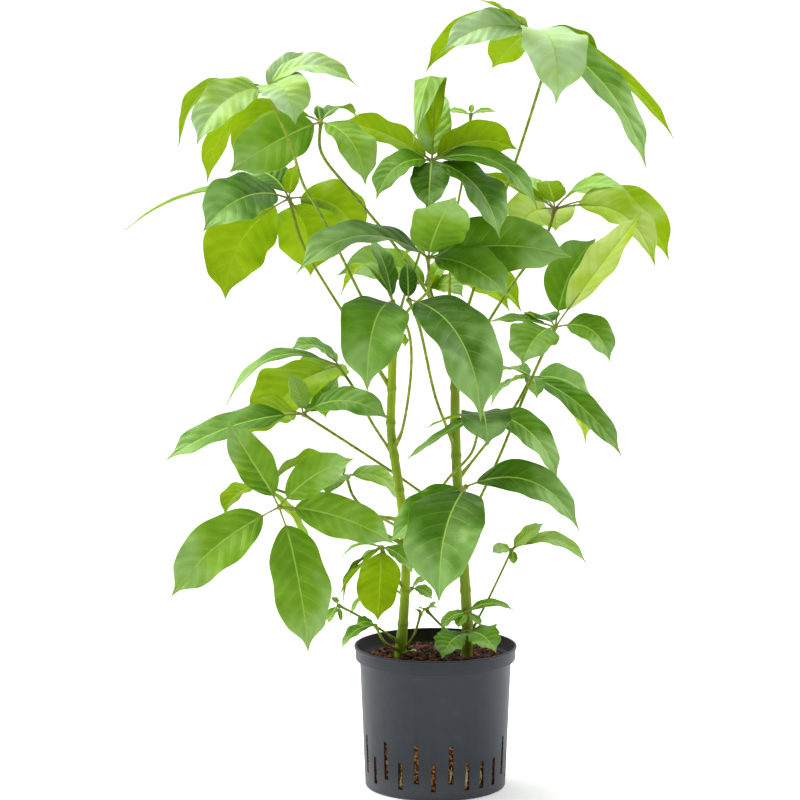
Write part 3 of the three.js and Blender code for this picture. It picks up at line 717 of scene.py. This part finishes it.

# path: the leaf stalk's points from the stem's axis out to the knuckle.
# blades: one row for each leaflet, (dx, dy, dz, width, arch, roll, tone). dx, dy, dz reach from the
# knuckle to the tip, arch lifts the middle as a share of the length, roll turns the face about
# the leaflet's own line in degrees, and tone goes from 0, dark, to 1, lime: partly the leaflet's
# age, old or young, and partly painted light, dark where it stands in shade and lime where light
# shines through it. Above 1 a painted sheen, a pale reflection, comes over it.

leaves = [
    {"name": "leaf_01",
     "path": [(22, 0, 587), (60, 40, 700), (86, 40, 783), (107, 30, 846), (138, 0, 950), (148, -18, 990),
              (124, -30, 1019)],
     "blades": [(-66, -10, 40, 38, 0.1, 0, 0.95), (-116, -40, -25, 50, 0.26, -50, 1.3),
                (-138, 45, -56, 46, 0.42, 40, 0.9), (-49, 80, -52, 54, 0.12, 25, 0.9),
                (29, -75, -93, 88, 0.7, 0, 1.25), (149, -45, -178, 68, 0.23, 22, 0.5),
                (94, 60, -75, 52, 0.35, -20, 0.9), (193, 45, -146, 28, 0.22, -30, 0.8)]},
    {"name": "leaf_02",
     "path": [(-58, 0, 585), (-97, -15, 663), (-153, -35, 779), (-174, -70, 820), (-189, -100, 872),
              (-220, -130, 948)],
     "blades": [(-85, -55, -69, 60, 0.35, -35, 1.02), (-116, 50, -79, 48, 0.58, 0, 0.95),
                (48, 35, 45, 34, 0.05, 40, 1.15), (117, -10, 3, 38, 0.5, 35, 1.1),
                (40, -66, -44, 64, 0.55, 15, 1.1), (-77, 20, -123, 44, 0.25, 30, 0.9)]},
    {"name": "leaf_03",
     "path": [(18, 0, 614), (-13, 0, 672), (-61, -10, 743), (-111, -25, 806), (-152, -38, 862),
              (-152, -40, 900)],
     "blades": [(-118, -35, -64, 74, 0.1, -65, 0.7), (-112, 60, -72, 56, 0.7, 20, 0.95),
                (59, -50, -80, 58, 0.4, 15, 0.8), (-5, 15, 22, 14, 0, 0, 0.3), (47, 40, 5, 36, 0.5, 0, 0.4)]},
    {"name": "leaf_04", "bare": 0.12,
     "path": [(-59, 0, 540), (-125, 30, 642), (-178, 45, 731), (-197, 50, 793)],
     "bruise": 0.8,
     "blades": [(-110, -90, -37, 76, 0.35, -40, 0.2), (-221, -10, -42, 30, 0.28, 0, 0.6),
                (-88, 26, -139, 92, 0.3, 55, 0.9), (27, 48, -109, 84, 0.25, -25, 0.9),
                (96, 66, -65, 68, 0.35, -50, 0.9), (10, -40, 48, 22, 0.1, 0, 0.7),
                (-62, 40, 34, 50, 0.35, -30, 0.15)]},
    {"name": "leaf_05",
     "path": [(-57, 0, 600), (-44, 5, 660), (-21, 0, 728), (-6, -20, 848)],
     "blades": [(-120, 40, 51, 52, 0.1, 50, 0.8), (-73, -40, -48, 48, 0.45, -25, 0.45),
                (-5, -62, -62, 50, 0.3, 0, 0.15), (88, -45, -99, 76, 0.34, 12, 0.2),
                (114, 30, 13, 62, 0.3, -55, 0.62), (139, -35, -62, 40, 0.45, 30, 0.35),
                (-26, -62, 22, 42, 3, 0, 0.65), (8, 50, 96, 46, 0.05, 0, 0.95)]},
    {"name": "leaf_06", "bare": 0.16,
     "path": [(25, 0, 556), (92, 50, 660), (152, 100, 741), (163, 110, 774)],
     "bruise": 0.9,
     "blades": [(-50, 45, -34, 64, 0.35, 50, 1.25), (4, 50, -34, 60, 0.4, -10, 1.22),
                (102, 65, -6, 44, 0.55, -35, 1.2), (98, -45, 26, 36, 0.4, 20, 0.7),
                (-14, -50, 43, 40, 0.2, 0, 0.6), (136, -20, -76, 66, 0.5, -45, 1.1),
                (160, 40, -74, 60, 0.5, -50, 1.1), (-101, 0, 50, 26, 0.1, 40, 0.5),
                (-45, 64, 40, 28, 0.1, -30, 0.6)]},
    {"name": "leaf_07", "bare": 0.15,
     "path": [(17, 0, 625), (22, 40, 738), (43, 60, 857), (47, 60, 905)],
     "blades": [(-32, 5, 6, 12, 0.1, -30, 0.8), (2, 8, 14, 8, 0, 0, 0.9), (35, 5, 3, 11, 0.2, 30, 0.8)]},
    {"name": "leaf_08", "bare": 0.15,
     "path": [(35, 0, 342), (81, 0, 440), (126, 30, 544), (161, 40, 620)],
     "blades": [(113, -20, 156, 54, 0.02, -45, 1.2), (58, 68, 114, 64, 0.22, 40, 0.7),
                (72, -40, -42, 50, 0.5, 30, 0.65), (-46, -50, -45, 70, 0.35, -15, 0.62),
                (-30, 52, 0, 48, 0.45, 0, 0.4), (-90, 14, 6, 26, 0.15, -15, 0.4)]},
    {"name": "leaf_09",
     "path": [(29, 0, 418), (66, 40, 458), (109, 90, 505), (132, 110, 543)],
     "blades": [(120, -80, -98, 40, 0.2, 30, 0.5), (96, 40, -82, 60, 0.45, 30, 0.5),
                (78, 40, -97, 72, 0.35, 0, 1.05), (6, -50, -23, 26, 0.3, 0, 0.4),
                (-56, -30, -34, 44, 0.35, 15, 0.4), (-45, 40, 2, 36, 0.3, 0, 0.4)]},
    {"name": "leaf_10",
     "path": [(-43, 0, 345), (-3, -25, 398), (19, -40, 430), (37, -50, 450), (48, -55, 466), (60, -70, 520)],
     "blades": [(98, -30, -88, 50, 0.38, 30, 0.4), (6, -70, -34, 66, 0.35, 0, 0.05),
                (-100, 10, -65, 26, 0.05, -20, 0.3), (-74, 45, -28, 20, 0.1, 0, 0.4)]},
    {"name": "leaf_11",
     "path": [(27, 0, 460), (0, -30, 532), (-24, -85, 640), (-37, -95, 672)],
     "blades": [(92, -105, -145, 98, 0.45, 10, 0.12), (-2, 12, 48, 24, 0, 0, 0.1)]},
    {"name": "leaf_12",
     "path": [(32, 0, 380), (36, -60, 405), (38, -110, 427)],
     "blades": [(-36, -105, -131, 104, 0.35, 0, 0.2), (148, -20, -55, 52, 0.5, 45, 0.25),
                (-100, 10, -76, 52, 0.1, -55, 0.4)]},
    {"name": "leaf_13",
     "path": [(-57, 0, 590), (-49, -5, 612), (-40, -15, 645), (-11, -45, 680), (-11, -50, 722)],
     "blades": [(-172, -60, -15, 74, 0.42, -20, 0.2), (35, -66, 85, 76, 0.2, 160, 0.85),
                (104, -50, -47, 66, 0.25, 35, 0.5), (189, 10, 0, 80, 0.17, 65, 0.48),
                (-34, 26, -4, 14, 0.6, 0, 0.8), (40, 30, -12, 14, 0.6, 0, 0.7)]},
    {"name": "leaf_14",
     "path": [(19, 0, 608), (5, 40, 640), (-8, 70, 668)],
     "blades": [(110, 40, -34, 52, 0.5, -40, 0.8), (128, 80, -40, 50, 0.5, -30, 0.8),
                (45, -24, -8, 30, 0.5, 40, 0.9), (38, 20, 46, 26, 0.3, 30, 0.9),
                (9, -25, 24, 20, 0.1, 0, 0.5), (-125, -10, 20, 60, 0.4, -40, 0.95)]},
    {"name": "leaf_15", "bare": 0.12,
     "path": [(-56, 0, 451), (-86, 55, 488), (-112, 90, 532), (-132, 100, 560)],
     "blades": [(-153, -30, -50, 32, 0.5, -14, 0.45), (-66, -20, 25, 40, 0.45, -20, 0.45),
                (-30, 30, 22, 20, 0.2, 0, 0.6), (-108, 60, -98, 100, 0.25, 30, 0.9),
                (-40, 104, -58, 70, 0.3, 20, 0.8)]},
    {"name": "leaf_16", "bare": 0.12,
     "path": [(33, 0, 363), (-9, 30, 389), (-63, 45, 425), (-179, 40, 502)],
     "blades": [(-185, -30, -59, 58, 0.16, -28, 0.35), (-80, 60, -38, 62, 0.3, 40, 0.8),
                (-17, 20, 52, 34, 0.1, 0, 1.05), (47, 25, 50, 24, -0.2, 45, 0.6),
                (117, -50, -1, 46, 0.36, 40, 0.4), (30, 60, -14, 30, 0.4, 0, 0.5)]},
    {"name": "leaf_17",
     "path": [(-43, 0, 349), (-111, 95, 378), (-122, 110, 406)],
     "blades": [(78, 10, -46, 36, 0.45, 35, 1.05), (-26, -50, -20, 40, 0.3, 0, 0.8),
                (-50, 40, -10, 40, 0.3, 0, 0.5)]},
    {"name": "leaf_18", "bare": 0.13,
     "path": [(-41, 0, 330), (-100, -40, 365), (-187, -130, 400), (-205, -150, 407)],
     "blades": [(-67, -5, 113, 50, 0.05, -80, 0.7), (98, -15, 66, 48, 0.15, 75, 0.72),
                (150, -35, -42, 56, 0.15, 65, 0.72), (38, -35, -184, 76, 0.12, 30, 0.72),
                (-138, -40, -110, 68, 0.12, -60, 0.78)]},
    {"name": "leaf_19",
     "path": [(-44, 0, 363), (-129, 40, 372), (-228, 40, 402)],
     "blades": [(-60, 20, -44, 46, 0.42, 20, 0.6), (92, 30, 32, 52, 0.3, -30, 0.5),
                (56, 34, -92, 34, 0.12, 0, 0.6)]},
    {"name": "leaf_20",
     "path": [(-41, 0, 266), (-60, -30, 305), (-73, -50, 336)],
     "blades": [(-5, 16, -103, 60, -0.1, 0, 0.85), (-56, -30, -59, 34, 0.1, 30, 0.55),
                (-51, 10, -75, 34, 0.3, 0, 0.6), (-54, 0, -15, 14, 0.4, 0, 0.6),
                (20, 15, -20, 22, 0.3, 0, 0.5), (42, -10, -34, 30, 0.3, 20, 0.5)]},
    {"name": "leaf_21",
     "path": [(-42, 0, 248), (-37, 28, 256), (-32, 40, 262)],
     "blades": [(24, -10, 18, 18, 0.2, 30, 0.8), (28, -5, -14, 20, 0.3, 30, 0.8),
                (-12, 10, -28, 10, 0.1, 0, 0.8)]},
    {"name": "leaf_22",
     "path": [(-46, 0, 194), (-94, -40, 235), (-130, -60, 259)],
     "blades": [(-13, -12, -22, 16, 0.2, 0, 0.6), (-8, 10, 10, 10, 0.1, 0, 0.6),
                (4, -12, -20, 6, 0, 0, 0.6)]},
    {"name": "leaf_23",
     "path": [(-48, 0, 184), (-70, -48, 208), (-81, -66, 233)],
     "blades": [(-25, -15, 4, 20, 0.3, -30, 0.5), (-45, -10, -30, 22, 0.35, -20, 0.5)]},
    {"name": "leaf_24",
     "path": [(-47, 0, 183), (-30, -18, 208), (-20, -30, 242)],
     "blades": [(22, -10, 10, 12, 0.3, 0, 0.5), (-8, -8, 8, 10, 0.1, 0, 0.5)]},
    {"name": "leaf_25",
     "path": [(43, 0, 190), (8, 35, 212), (-11, 40, 231)],
     "blades": [(14, 6, 12, 10, 0.2, 0, 0.6), (-12, -8, 6, 10, 0.2, 0, 0.6)]},
    {"name": "leaf_26",
     "path": [(42, 0, 230), (42, -16, 240)],
     "blades": [(-35, -5, -22, 20, 0.3, -30, 0.7), (-12, -16, -18, 18, 0.2, 0, 0.7),
                (18, -14, -16, 18, 0.2, 0, 0.7), (64, 5, 2, 16, 0.35, 30, 0.5)]},
    {"name": "leaf_27", "toothed": True,
     "path": [(43, 0, 202), (42, -24, 214)],
     "blades": [(-34, -36, -28, 50, 0.3, -10, 0.45), (38, -46, -17, 48, 0.35, 20, 0.45)]},
    {"name": "leaf_28",
     "path": [(43, 0, 200), (71, 10, 252), (104, 20, 320)],
     "blades": [(43, 5, 35, 22, 0.1, 45, 1.1), (-28, -15, -2, 20, 0.2, -35, 1.05),
                (2, -12, -19, 12, 0.1, 0, 0.6), (103, 0, -23, 24, 0.5, 35, 1.1)]},
    {"name": "leaf_29",
     "path": [(-41, 0, 257), (-54, 22, 264), (-67, 34, 268)],
     "blades": [(-50, 10, -46, 22, 0.25, -20, 0.6)]},
    {"name": "leaf_30",
     "path": [(-57, 0, 596), (-60, 22, 612)],
     "blades": [(-15, 25, -52, 38, 0.3, 0, 0.5), (20, 30, -20, 20, 0.3, 0, 0.5)]},
    {"name": "leaf_31",
     "path": [(-56, 0, 462), (-45, -25, 490), (-33, -65, 586), (-38, -78, 632), (-58, -80, 668)],
     "blades": [(-32, -95, -106, 86, 0.55, -15, 0.4), (-70, 100, -4, 24, 0.75, 0, 0.9),
                (-30, 60, 80, 34, 0.2, 20, 0.4)]},
    {"name": "leaf_32",
     "path": [(-48, 0, 179), (-40, -15, 184)],
     "blades": [(14, -10, 5, 12, 0.2, 0, 0.8)]},
]


def leafPaint(name):
    looks = leafLooks[name]
    old, grown, young, fresh = (colour(*tone) for tone in looks["tones"])
    vein = colour(*looks["vein"])
    paint = Paint(name)
    spot = paint.node("ShaderNodeUVMap", {"uv_map": "blade"}, {})
    across = paint.node("ShaderNodeSeparateXYZ", {}, (spot,), "X")
    along = across.also("Y")
    out = (across * 2 - 1).maths("ABSOLUTE")
    side = across.maths("GREATER_THAN", 0.5)
    ribGap = paint.attribute("ribGap")
    course = (along - out ** 1.3 * leafStyle["veinSweep"]) * leafStyle["veins"] + side * 0.4
    gap = (course.maths("FRACT") - 0.5).maths("ABSOLUTE")
    sideVein = gap.fade(0.07, 0.015) * out.fade(1.0, 0.3)
    midrib = (ribGap + along * 0.6).fade(1.6, 0.75)
    net = paint.cells(520).fade(0.09, 0.02)
    mottle = paint.cloud(55, 3)
    broad = paint.cloud(18, 2)
    told = paint.attribute("tone")
    # the along share is painted shade near the knuckle and painted light towards the tip
    tone = told + (mottle - 0.5) * 0.3 + (broad - 0.5) * 0.6 + (along - 0.5) * 0.45
    # painted sheen towards the tip
    tipSheen = (along + (broad - 0.5) * 1.2).fade(0.45, 0.9) * looks["tipSheenShare"]
    # painted sheen: leaflets whose tone is above 1 take a pale reflection colour
    paintedSheen = (told + (broad - 0.5) * 0.9).fade(0.98, 1.3) * 0.85
    base = paint.ramp(tone, (0.0, old), (0.4, grown), (0.8, young), (1.0, fresh))
    base = paint.mix(tipSheen, base, colour(*looks["tipSheen"]))
    base = paint.mix(paintedSheen, base, colour(*looks["pale"]))
    base = paint.mix(gap.fade(0.12, 0.5) * 0.09, base, old)
    base = paint.mix(sideVein * looks["veinShare"], base, vein)
    base = paint.mix(net * 0.1, base, vein)
    base = paint.mix(midrib * 0.9, base, vein)
    base = paint.mix(out.fade(0.965, 1.0) * 0.3, base, vein)
    height = gap.fade(0.0, 0.5) * 0.5 - sideVein * 0.2 - net * 0.07 + mottle * 1.5 + broad * 2
    rough = looks["gloss"] + mottle * 0.14 + midrib * 0.08
    return paint.finish(Base_Color=base, Roughness=rough, Normal=paint.relief(height, 0.6, 0.0016),
                        Specular_IOR_Level=looks["sheen"], Specular_Tint=(0.8, 1.0, 0.35, 1))


def stalkPaint():
    paint = Paint("leaf stalk")
    bruise = paint.attribute("tone")
    streak = paint.cloud(120, 3)
    base = paint.mix(streak.fade(0.35, 0.7), colour(106, 128, 4), colour(142, 162, 32))
    base = paint.mix(bruise * 0.8, base, colour(96, 70, 46))
    return paint.finish(Base_Color=base, Roughness=0.4 + streak * 0.15, Specular_IOR_Level=0.3,
                        Normal=paint.relief(streak, 0.25, 0.0004))


def bladeOutline(u):  # half width along the blade, as a share of the greatest
    u = np.asarray(u, dtype=float)
    widest = leafStyle["widest"]
    low = (1 - (1 - np.minimum(u, widest) / widest) ** 2.2) ** 0.7
    beyond = (np.maximum(u, widest) - widest) / (1 - widest)
    t = np.clip((u - leafStyle["dripFrom"]) / leafStyle["dripOver"], 0, 1)
    drip = 1 - leafStyle["drip"] * t * t * (3 - 2 * t)
    return np.where(u < widest, low, (1 - beyond ** 2.5) * drip)


def bladeBlank(name, cells):  # a flat leaflet, 2 wide and 1 long, that each leaflet is bent from
    letGo()
    columns, rows = cells
    bpy.ops.mesh.primitive_grid_add(x_subdivisions=columns, y_subdivisions=rows, size=2, location=(0, 0, 0))
    blank = bpy.context.object
    blank.name = blank.data.name = name
    blank.data.uv_layers[0].name = "blade"
    rib = blank.vertex_groups.new(name="rib")
    place = {}
    for vertex in blank.data.vertices:
        across, along = vertex.co.x, (vertex.co.y + 1) / 2
        along -= 0.055 * math.sin(2 * math.pi * along)  # finer rows at both ends
        across = math.copysign(abs(across) ** 1.35, across)  # and finer columns by the midrib
        place[vertex.index] = ((across + 1) / 2, along)
        width = max(float(bladeOutline(along)), 0.012 if along > 0.5 else 0.03)
        vertex.co = (across * width, along, 0)
        weight = max(0, 1 - abs(across) / 0.1) * (1 - 0.6 * along)
        rib.add([vertex.index], weight, "REPLACE")
    uv = blank.data.uv_layers["blade"]
    for loop in blank.data.loops:
        uv.data[loop.index].uv = place[loop.vertex_index]
    setFloats(blank.data, "along", [place[i][1] for i in range(len(place))])
    setFloats(blank.data, "across", [place[i][0] * 2 - 1 for i in range(len(place))])
    return blank


def bladeLength(row):  # straight from the knuckle to the tip
    return math.sqrt(row[0] ** 2 + row[1] ** 2 + row[2] ** 2)


def bareShare(leaf, size):
    return max(leaf.get("bare", leafStyle["bare"]), leafStyle["bareLeast"] / size)


def bendFrame(hub, row, s):  # centre line, sideways direction and face of a leaflet at s along it
    dx, dy, dz, _, arch, roll, _ = row
    chord = np.array((dx, dy, dz), dtype=float)
    level = math.hypot(dx, dy)
    side = np.array((dy / level, -dx / level, 0))
    bend = chord * 0.5 + np.cross(side, chord) * arch
    s = np.asarray(s, dtype=float)[:, None]
    centre = np.array(hub) + bend * 2 * s * (1 - s) + chord * s ** 2
    ahead = bend * 2 * (1 - 2 * s) + chord * 2 * s
    ahead /= np.linalg.norm(ahead, axis=1)[:, None]
    flat = np.cross(side, ahead)
    turn = math.radians(roll)
    across = side * math.cos(turn) - flat * math.sin(turn)
    face = flat * math.cos(turn) + side * math.sin(turn)
    return centre, across, face


def makeBlade(blank, hub, row, phase, leaf):
    mesh = blank.data.copy()
    u, v = readFloats(mesh, "along"), readFloats(mesh, "across")
    out, hand = np.abs(v), np.sign(v)
    reach = vertexPlaces(mesh)[:, 0]
    length = bladeLength(row)
    widest = row[3] / 2
    share = bareShare(leaf, length)
    centre, across, face = bendFrame(hub, row, share + (1 - share) * u)
    half = widest * np.maximum(bladeOutline(u), 0.02)
    swell = np.sin(2 * math.pi * (2.2 * u + 3.7 * phase) + 2.1 * hand)
    edge = leafStyle["uneven"] * swell * np.sin(math.pi * u)
    reach = reach * (1 + edge * out ** 2)
    if leaf.get("toothed"):
        tooth = (u * leafStyle["teeth"] + 0.15 * hand) % 1
        reach = reach * (1 - leafStyle["toothDepth"] * (1 - tooth) * out ** 2 * (u < leafStyle["teethEnd"]))
    fold = math.copysign(leafStyle["fold"], leafStyle["bentOver"] - row[4])
    rise = fold * half * out * (1.35 - 0.35 * out ** 2)
    wave = -v * leafStyle["wave"] * half * np.sin(2 * math.pi * (1.3 * u + phase))
    ripple = leafStyle["ripple"] * half * out ** 3 * np.sin(2 * math.pi * (3.1 * u + 2.3 * phase) + 1.5 * v)
    course = (u - out ** 1.3 * leafStyle["veinSweep"]) * leafStyle["veins"] + 0.4 * (v > 0)
    puff = leafStyle["puff"] * min(1, widest / leafStyle["fullPuff"])
    puff = puff * (0.5 + 0.5 * np.cos(2 * math.pi * course)) * 4 * out * (1 - out)
    sway = leafStyle["sway"] * length * math.sin(2 * math.pi * phase * 3)
    sway = sway * np.sin(math.pi * np.clip(u, 0, 1)) ** 1.5
    place = centre + across * (reach * widest + sway)[:, None] + face * (rise + wave + ripple + puff)[:, None]
    mesh.vertices.foreach_set("co", (place * mm).ravel())
    setFloats(mesh, "tone", np.full(len(u), row[6]))
    setFloats(mesh, "ribGap", np.abs(reach) * widest)
    blade = bpy.data.objects.new("blade", mesh)
    bpy.context.scene.collection.objects.link(blade)
    return blade


def leafStalk(leaf):  # a sheath at the stem, a slim stalk, and a knuckle that closes it
    young = max(row[3] for row in leaf["blades"]) < leafStyle["youngUnder"]
    thick = leafStyle["youngStalk"] if young else 1.0
    points, share, length = smoothLine(leaf["path"], leafStyle["stalkStep"])
    radii = np.maximum(leafStyle["stalkRadius"] * thick, leafStyle["sheathRadius"] * (1 - 2.6 * share))
    left = length * (1 - share)
    radii = radii * (0.94 + 0.12 * np.exp(-left / 20)) + (2.2 * thick - 0.4) * np.exp(-(left / 4.5) ** 2)
    end = points[-1] + (points[-1] - points[-2]) * 0.35
    return np.vstack([points, end]), np.append(radii, radii[-1] * 0.55)


def bladeStalk(leaf, hub, row):  # a leaflet's own stalk, which runs on under the foot of its blade
    size = bladeLength(row)
    joint = bareShare(leaf, size)
    under = joint + (1 - joint) * np.array((0.03, 0.07, 0.12, 0.18))
    s = np.concatenate([np.linspace(0, joint, 9), under])
    centre, _, face = bendFrame(hub, row, s)
    sink = np.concatenate([np.zeros(8), (0.3, 0.7, 0.9, 1.0, 1.1)])
    slim = min(1, 0.45 + size / 180)
    run = s * size
    widths = slim * (1.15 + 0.7 * np.exp(-run / 5) + 0.25 * np.exp(-((joint - s) * size / 3) ** 2))
    widths[-4:] = slim * np.array((1.2, 1.05, 0.9, 0.6))
    return centre - face * sink[:, None], widths


def makeLeaf(leaf, number, blanks, paints):
    hub = leaf["path"][-1]
    strands = [leafStalk(leaf)]
    blades = []
    for i, row in enumerate(leaf["blades"]):
        phase = (number * 0.31 + i * 0.37) % 1
        blank = blanks[bladeLength(row) < leafStyle["smallUnder"]]
        blades.append(makeBlade(blank, hub, row, phase, leaf))
        strands.append(bladeStalk(leaf, hub, row))
    sheet = joined(blades, "leaflets")
    dressed(sheet, *paints)
    applied(sheet, "SOLIDIFY", thickness=leafStyle["thickness"] * mm, offset=-1, vertex_group="rib",
            thickness_vertex_group=leafStyle["thinShare"], material_offset=1, use_rim=True)
    stalks = tubes("stalks", strands, 2)
    gap = np.linalg.norm(vertexPlaces(stalks.data) / mm - np.array(hub), axis=1)
    bruise = leaf.get("bruise", leafStyle["bruise"])
    setFloats(stalks.data, "tone", bruise * np.exp(-(gap / leafStyle["bruiseReach"]) ** 2))
    dressed(stalks, paints[-1])
    piece = joined([sheet, stalks], leaf["name"].replace("leaf_", "crown."))
    for name in ("along", "across"):
        piece.data.attributes.remove(piece.data.attributes[name])
    smoothed(piece, 50)
    settled(piece, [leaf["name"]])
    return len(piece.data.polygons)


def makeLeaves():
    paints = (leafPaint("leaf top"), leafPaint("leaf underside"), stalkPaint())
    blanks = (bladeBlank("leafletBlank", leafStyle["blade"]),
              bladeBlank("smallLeafletBlank", leafStyle["smallBlade"]))
    faces = sum(makeLeaf(leaf, number, blanks, paints) for number, leaf in enumerate(leaves))
    for blank in blanks:
        bpy.data.objects.remove(blank)
    print("leaves made:", len(leaves), "with", faces, "faces")


makeLeaves()


# studio: pale floor, soft lights, camera

studio = {
    "floor": 600.0,
    "floorTop": -0.0004,
    "floorColour": (248, 248, 248),
    "floorGlow": 0.2,
    "lights": (  # place, target, size, power, colour
        ((-2.4, 0.4, 2.6), (-0.1, 0, 0.8), 1.6, 60, (1.0, 0.99, 0.97)),
        ((2.2, 0.8, 2.2), (0, 0, 0.6), 1.6, 30, (1.0, 1.0, 1.0)),
    ),
    "sun": (2.2, (-0.35, 0.15, 1.0), 50),  # strength, where from, width in degrees
    "dim": 0.18,  # brightness of the room in front of the plant
    "bright": 1.06,  # and of the room behind and above it
    "brightSide": (0, 1, 0.1),
    "band": (-0.5, 0.3),  # where dim turns bright, along that direction
    "camera": (-0.048, -4.2, 1.102),
    "tilt": 7.8,  # degrees below level
    "lens": 142.47,
}


def lamp(name, kind, place, target, power, tint, **shape):
    data = bpy.data.lights.new(name, kind)
    data.energy, data.color = power, tint
    for key, value in shape.items():
        setattr(data, key, value)
    made = bpy.data.objects.new(name, data)
    made.location = place
    made.rotation_euler = (Vector(target) - Vector(place)).to_track_quat("-Z", "Y").to_euler()
    bpy.context.scene.collection.objects.link(made)


def makeRoom():  # a pale room, dimmer in front of the plant than behind and above it
    world = bpy.data.worlds.new("studio")
    world.use_nodes = True
    nodes, links = world.node_tree.nodes, world.node_tree.links
    place = nodes.new("ShaderNodeTexCoord")
    slope = nodes.new("ShaderNodeVectorMath")
    slope.operation = "DOT_PRODUCT"
    slope.inputs[1].default_value = studio["brightSide"]
    levels = nodes.new("ShaderNodeMapRange")
    levels.interpolation_type = "SMOOTHSTEP"
    for i, value in enumerate((*studio["band"], studio["dim"], studio["bright"]), 1):
        levels.inputs[i].default_value = value
    links.new(place.outputs["Generated"], slope.inputs[0])
    links.new(slope.outputs["Value"], levels.inputs[0])
    links.new(levels.outputs[0], nodes["Background"].inputs["Strength"])
    nodes["Background"].inputs["Color"].default_value = (1, 1, 1, 1)
    bpy.context.scene.world = world


def floorPaint():
    paint = Paint("studio floor")
    return paint.finish(Base_Color=colour(*studio["floorColour"]), Roughness=0.8,
                        Emission_Color=(1, 1, 1, 1), Emission_Strength=studio["floorGlow"])


def makeStudio():
    letGo()
    bpy.ops.mesh.primitive_plane_add(size=studio["floor"], location=(0, 0, studio["floorTop"]))
    floor = bpy.context.object
    floor.name = "floor"
    pick(floor)
    bpy.ops.object.transform_apply(location=True)
    dressed(floor, floorPaint())
    for i, (place, target, size, power, tint) in enumerate(studio["lights"]):
        lamp("softbox" + str(i + 1), "AREA", place, target, power, tint, shape="SQUARE", size=size)
    strength, place, width = studio["sun"]
    lamp("skylight", "SUN", place, (0, 0, 0), strength, (1, 1, 1), angle=math.radians(width))
    makeRoom()
    bpy.context.scene.view_settings.view_transform = "Standard"
    data = bpy.data.cameras.new("camera")
    data.lens, data.sensor_width, data.clip_end = studio["lens"], 36, 1000
    camera = bpy.data.objects.new("camera", data)
    camera.location = studio["camera"]
    camera.rotation_euler = (math.radians(90 - studio["tilt"]), 0, 0)
    bpy.context.scene.collection.objects.link(camera)
    bpy.context.scene.camera = camera
    print("studio set")


makeStudio()
letGo()
bpy.context.view_layer.update()
